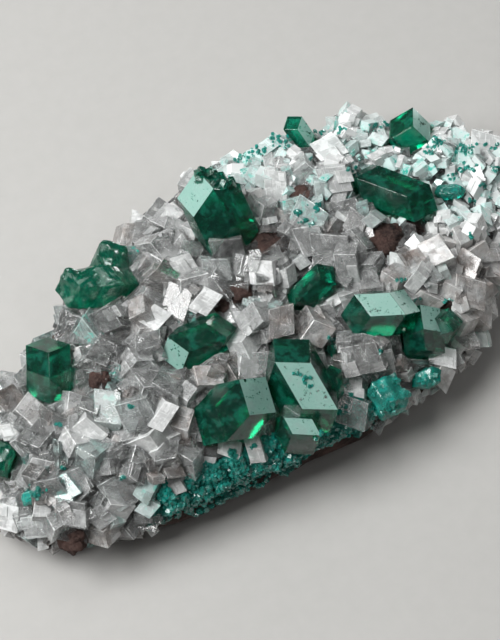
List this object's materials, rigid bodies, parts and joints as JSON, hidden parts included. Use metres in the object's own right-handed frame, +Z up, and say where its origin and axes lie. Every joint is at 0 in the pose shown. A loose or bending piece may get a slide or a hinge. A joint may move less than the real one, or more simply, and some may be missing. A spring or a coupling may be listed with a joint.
{
  "type": "dioptase crystals on calcite matrix",
  "caption": "Emerald green dioptase prisms in a crust of clear to milky calcite rhombs on a brown rock matrix, a cabinet mineral specimen.",
  "frame": {"origin": "middle of the footprint of the whole specimen, on the surface that it rests on", "axes": "+X along the specimen's longest side, towards its right end with the crystals up and the near rim in front; +Y away towards the far rim; +Z up, out of the crystal crust"},
  "size_m": [0.079, 0.0424, 0.0208],
  "materials": {
    "matrix": "matt, earthy, broken",
    "calcite": "glassy cleavage faces, clear to milky",
    "dioptase": "glassy, clear, some faces etched",
    "dioptase_druse": "sparkling, fine crystals"
  },
  "bodies": {
    "root": {"matrix_rock": "matrix", "calcite_crust": "calcite", "dioptase_druse": "dioptase_druse", "dioptase_far_left": "dioptase", "dioptase_left_edge": "dioptase", "dioptase_left_block": "dioptase", "dioptase_middle_left": "dioptase", "dioptase_middle": "dioptase", "dioptase_upper_long": "dioptase", "dioptase_right_group": "dioptase", "dioptase_front_wide": "dioptase", "dioptase_front_tall": "dioptase", "dioptase_front_rough": "dioptase", "dioptase_far_edge": "dioptase", "dioptase_far_small": "dioptase", "dioptase_left_end": "dioptase", "dioptase_small_right": "dioptase", "dioptase_small_gem": "dioptase", "dioptase_small_front": "dioptase", "dioptase_small_left": "dioptase"}
  },
  "joints": []
}
